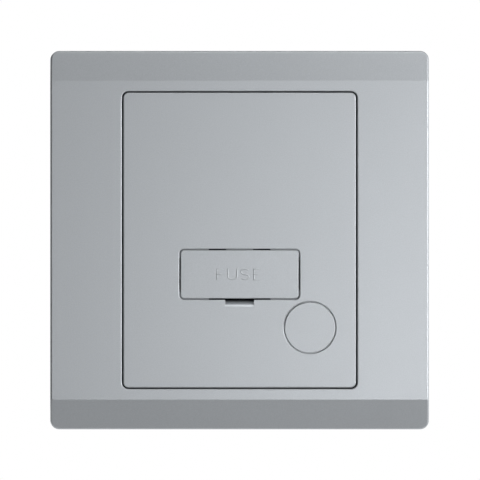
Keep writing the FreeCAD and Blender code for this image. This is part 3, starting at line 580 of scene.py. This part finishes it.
def mark_centre(*terminals):
    """A mark's middle, in millimetres: midway between its terminals in X, and just off their inner ends."""
    boxes = [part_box(terminal) for terminal in terminals]
    centre_x = sum(low.x + high.x for low, high in boxes) / (2 * len(boxes))
    low, high = boxes[0]
    if low.z > 0:
        return centre_x / MM, low.z / MM - MARK_OFF_TERMINAL
    return centre_x / MM, high.z / MM + MARK_OFF_TERMINAL


def rear_marks(urea):
    """Letters for the conductors and their two sides, raised on the rear of the terminal towers."""
    rear_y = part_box("rear_base")[1].y
    marks = [(letters, mark_centre(terminal)) for terminal, letters in TERMINAL_MARKS.items()]
    marks += [(list(word), mark_centre(*terminals)) for word, terminals in SIDE_WORDS.items()]
    ridges = []
    for letters, (centre_x, centre_z) in marks:
        foot = centre_z - MARK_HEIGHT / 2
        start = -centre_x - (len(letters) - 1) * MARK_LETTER_STEP / 2 - MARK_LETTER_WIDTH / 2
        for i, letter in enumerate(letters):
            ridges += letter_ridges(
                letter, start + i * MARK_LETTER_STEP, MARK_LETTER_WIDTH, foot, MARK_HEIGHT, MARK_RELIEF,
                MARK_STROKE, rear_y, REAR,
            )
    return mesh_piece("rear_marks", ridges, urea, "unit")


def turned(radii, places, segments):
    """A surface of revolution about Y: rings of (r cos a, y, r sin a) for pairs of radius and place."""
    angles = np.linspace(0, 2 * np.pi, segments, endpoint=False)
    radius = np.asarray(radii)[:, None]
    y = np.broadcast_to(np.asarray(places)[:, None], (len(places), segments))
    return np.stack([radius * np.cos(angles), y, radius * np.sin(angles)], axis=-1)


def thread(start_y, end_y):
    """A screw thread about Y, from its near end to its point.

    The radius at angle a and place y is the root plus the thread's depth times a triangle wave of
    y / pitch - a / (2 pi), eased at its crest and root, and it tapers to the root over the point.
    """
    rings = int((end_y - start_y) / THREAD_PITCH * THREAD_RINGS_PER_TURN)
    y = np.linspace(start_y, end_y, rings)[:, None]
    angles = np.linspace(0, 2 * np.pi, THREAD_SEGMENTS, endpoint=False)[None, :]
    phase = (y / THREAD_PITCH - angles / (2 * np.pi)) % 1.0
    wave = 1 - np.abs(2 * phase - 1)
    wave = wave * wave * (3 - 2 * wave)
    fade = np.clip((end_y - y) / THREAD_POINT, 0, 1) * np.clip((y - start_y) / THREAD_PITCH, 0, 1)
    radius = THREAD_ROOT + (THREAD_CREST - THREAD_ROOT) * wave * fade
    radius = radius - np.clip(1 - (end_y - y) / THREAD_TIP, 0, 1) * THREAD_TIP_TAPER
    y = np.broadcast_to(y, radius.shape)
    return np.stack([radius * np.cos(angles), y, radius * np.sin(angles)], axis=-1)


def half_head(radii, places, side):
    """Half of a slotted head, on one side of its slot.

    Each ring is the arc of a circle from the slot's wall to the slot's wall, and its chord is the wall: the
    arc's angle runs from asin(w / r) to pi minus that, where w is half the slot's width.
    """
    rings = []
    for radius, y in zip(radii, places):
        edge = math.asin(SLOT_WIDTH / 2 / radius)
        angles = np.linspace(edge, np.pi - edge, HEAD_SEGMENTS // 2)
        across = radius * np.cos(angles)
        up = radius * np.sin(angles)
        ring = np.stack([across, np.full_like(angles, y), up], axis=-1)
        if side < 0:
            ring = ring * np.array([-1, 1, -1])
        rings.append(ring)
    return np.stack(rings)


def screw_head(head_r, front):
    """A slotted head: a disc up to the slot's floor, and before it two halves whose front edge is rounded.

    On the rounding the radius falls with 1 - cos(a) and the place comes forward with sin(a), where a runs
    from 0 to 90 degrees.
    """
    slot_floor = front + SLOT_DEPTH
    rear = front + HEAD_THICK
    disc = turned(
        [head_r - HEAD_EASE, head_r, head_r, head_r - HEAD_EASE / 2],
        [rear, rear - HEAD_EASE, slot_floor + HEAD_LAP, slot_floor], HEAD_SEGMENTS,
    )
    drop = np.linspace(0, np.pi / 2, HEAD_EDGE_STEPS)
    radii = [head_r] + list(head_r - HEAD_EDGE * (1 - np.cos(drop)))
    places = [slot_floor + HEAD_LAP / 2] + list(front + HEAD_EDGE * (1 - np.sin(drop)))
    return [disc] + [half_head(radii, places, side) for side in (-1, 1)]


def box_screws(zinc):
    """The two screws to the wall box: slotted head, plain neck and a thread behind the wall plane.

    All tubes run from the rear to the front, which turns their faces outwards.
    """
    low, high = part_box("fixing_screws")
    head_r = (high.z - low.z) / 2
    neck_front = low.y + HEAD_THICK - HEAD_EASE
    screw = screw_head(head_r, low.y)
    screw.append(turned([NECK_R, NECK_R], [NECK_PAST_WALL, neck_front], THREAD_SEGMENTS))
    screw.append(thread(WALL_PLANE_Y, high.y)[::-1])
    shapes = [tube + np.array([x, 0, 0]) for x in (low.x + head_r, high.x - head_r) for tube in screw]
    screws = mesh_piece("box_screws", shapes, zinc, "unit")
    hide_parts("fixing_screws")


def pale_floor():
    """Stage paint: plain and matt, a little lifted for the camera, and clear towards the rim."""
    material, tree = new_material("pale_floor")
    place = add(tree, "ShaderNodeTexCoord").outputs["Object"]
    reach = add(tree, "ShaderNodeVectorMath", links={0: place}, operation="LENGTH")
    fade = add(
        tree, "ShaderNodeMapRange", {"From Min": FLOOR_SOLID, "From Max": FLOOR_RADIUS},
        {"Value": reach.outputs["Value"]}, interpolation_type="SMOOTHSTEP",
    )
    paint = add(tree, "ShaderNodeBsdfDiffuse", {"Color": linear(FLOOR_PALE)})
    sight = add(tree, "ShaderNodeLightPath").outputs["Is Camera Ray"]
    lift = add(tree, "ShaderNodeMath", {1: FLOOR_LIFT}, {0: sight}, operation="MULTIPLY")
    glow = add(tree, "ShaderNodeEmission", links={"Strength": lift.outputs["Value"]})
    lifted = add(tree, "ShaderNodeAddShader", links={0: paint.outputs["BSDF"], 1: glow.outputs["Emission"]})
    clear = add(tree, "ShaderNodeBsdfTransparent")
    mix = add(
        tree, "ShaderNodeMixShader",
        links={0: fade.outputs["Result"], 1: lifted.outputs["Shader"], 2: clear.outputs["BSDF"]},
    )
    finish_material(tree, mix.outputs["Shader"])
    return material


def stage_paint(name, colour):
    """Stage paint that shows one tone whatever light falls on it."""
    material, tree = new_material(name)
    paint = add(tree, "ShaderNodeEmission", {"Color": linear(colour)})
    finish_material(tree, paint.outputs["Emission"])
    return material


def stage_piece(name, points, faces, material):
    """A piece of the studio, which isn't part of the object, so it rides on nothing."""
    mesh = bpy.data.meshes.new(name)
    mesh.from_pydata(points, [], faces)
    mesh.materials.append(material)
    made = bpy.data.objects.new(name, mesh)
    bpy.context.scene.collection.objects.link(made)
    return made


def stage_sheet(name, corners, colour):
    """A flat sheet of one tone that the camera doesn't see."""
    made = stage_piece(name, corners, [(0, 1, 2, 3)], stage_paint(name, colour))
    made.visible_camera = False
    return made


def floor():
    """A round floor: rings of (r cos a, r sin a, 0), with r growing evenly from the middle."""
    radii = np.linspace(0, FLOOR_RADIUS, FLOOR_RINGS + 1)[1:, None]
    angles = np.linspace(0, 2 * np.pi, FLOOR_SPOKES, endpoint=False)[None, :]
    height = np.zeros((FLOOR_RINGS, FLOOR_SPOKES))
    points = np.stack([radii * np.cos(angles), radii * np.sin(angles), height], axis=-1).reshape(-1, 3)
    faces = wrapped_quads(FLOOR_RINGS, FLOOR_SPOKES)[:, ::-1].tolist()
    faces.append(list(range(FLOOR_SPOKES)))
    made = stage_piece("floor", points.tolist(), faces, pale_floor())
    made.location.z = FLOOR_Z
    made.visible_glossy = False


def dim_wall():
    """The wall behind the camera: the plate's face mirrors it, so the lamps draw the light on the face."""
    half = WALL_WIDTH / 2
    top = WALL_HEIGHT / 2
    corners = [(-half, WALL_Y, -top), (half, WALL_Y, -top), (half, WALL_Y, top), (-half, WALL_Y, top)]
    stage_sheet("dim_wall", corners, WALL_DIM)


def dark_card(name, corners):
    """A card seen by reflections alone, which draws dark lines down the edges that mirror it."""
    made = stage_sheet(name, corners, CARD_DARK)
    made.visible_diffuse = False
    made.visible_shadow = False


def dark_cards():
    """The card at the left, which left-facing edges mirror, and the one overhead for the pry notch."""
    half = LEFT_CARD_WIDTH / 2
    x = LEFT_CARD_X
    top = FLOOR_Z + LEFT_CARD_HEIGHT
    dark_card("left_card", [(x, -half, FLOOR_Z), (x, half, FLOOR_Z), (x, half, top), (x, -half, top)])
    half = TOP_CARD_WIDTH / 2
    front = TOP_CARD_FRONT
    rear = TOP_CARD_REAR
    z = TOP_CARD_Z
    dark_card("top_card", [(-half, front, z), (half, front, z), (half, rear, z), (-half, rear, z)])


def room():
    """The room all round: white to the camera and in reflections, and dimmer as light on matt surfaces."""
    world = bpy.data.worlds.new("room")
    world.use_nodes = True
    tree = world.node_tree
    tree.nodes.clear()
    path = add(tree, "ShaderNodeLightPath").outputs
    seen = add(
        tree, "ShaderNodeMath", links={0: path["Is Camera Ray"], 1: path["Is Glossy Ray"]},
        operation="MAXIMUM",
    )
    through = add(
        tree, "ShaderNodeMath", links={0: seen.outputs["Value"], 1: path["Is Transmission Ray"]},
        operation="MAXIMUM",
    )
    strength = add(
        tree, "ShaderNodeMapRange", {"To Min": ROOM_LIGHT, "To Max": 1.0},
        {"Value": through.outputs["Value"]},
    )
    light = add(
        tree, "ShaderNodeBackground", {"Color": linear(ROOM_WHITE)},
        {"Strength": strength.outputs["Result"]},
    )
    add(tree, "ShaderNodeOutputWorld", links={"Surface": light.outputs["Background"]})
    bpy.context.scene.world = world


def lamp(name, place, side, watts):
    """A soft square lamp at a place, turned so that it faces the origin."""
    data = bpy.data.lights.new(name, "AREA")
    data.shape = "SQUARE"
    data.size = side
    data.energy = watts
    made = bpy.data.objects.new(name, data)
    x, y, z = place
    made.location = place
    made.rotation_euler = (math.atan2(math.hypot(x, y), z), 0.0, math.atan2(x, -y))
    made.visible_camera = False
    bpy.context.scene.collection.objects.link(made)


def lamps():
    """A near key lamp in front, others to the front's top right, right and above, and a soft one behind."""
    for name, (place, side, watts) in LAMPS.items():
        lamp(name, place, side, watts)


def camera(face_y):
    """A long lens straight in front, moved aside so that the plate lies where it does in the photograph."""
    data = bpy.data.cameras.new("camera")
    data.sensor_width = SENSOR_MM
    data.lens = SENSOR_MM * CAMERA_DISTANCE / PHOTO_WIDTH
    data.clip_end = CAMERA_REACH
    made = bpy.data.objects.new("camera", data)
    pixel = PHOTO_WIDTH / PHOTO_PIXELS
    aside = (PHOTO_PIXELS / 2 - PLATE_CENTRE_PX[0]) * pixel
    above = (PLATE_CENTRE_PX[1] - PHOTO_PIXELS / 2) * pixel
    made.location = (aside, face_y - CAMERA_DISTANCE, above)
    made.rotation_euler = (math.pi / 2, 0.0, 0.0)
    bpy.context.scene.collection.objects.link(made)
    bpy.context.scene.camera = made


def dress_nodes(nodes, finishes):
    """Give each node of the frame the finish that its slot names."""
    for made in nodes.values():
        for holder in made.material_slots:
            holder.material = finishes[holder.material.name]


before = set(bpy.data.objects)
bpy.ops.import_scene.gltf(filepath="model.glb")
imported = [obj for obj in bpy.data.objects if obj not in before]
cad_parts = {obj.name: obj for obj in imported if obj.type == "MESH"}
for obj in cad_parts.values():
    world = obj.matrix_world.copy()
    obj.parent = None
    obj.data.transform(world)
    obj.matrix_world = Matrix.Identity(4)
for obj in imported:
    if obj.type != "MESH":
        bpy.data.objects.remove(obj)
bpy.context.view_layer.update()
cad_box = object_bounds()
bpy.context.scene.view_settings.view_transform = "Standard"
camera(cad_box[0].y)
materials = {slot: make() for slot, make in FINISHES.items()}
dress_nodes(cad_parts, materials)
carrier_word(materials["silver_abs"])
rear_marks(materials["white_urea"])
box_screws(materials["zinc_steel"])
floor()
dim_wall()
dark_cards()
room()
lamps()
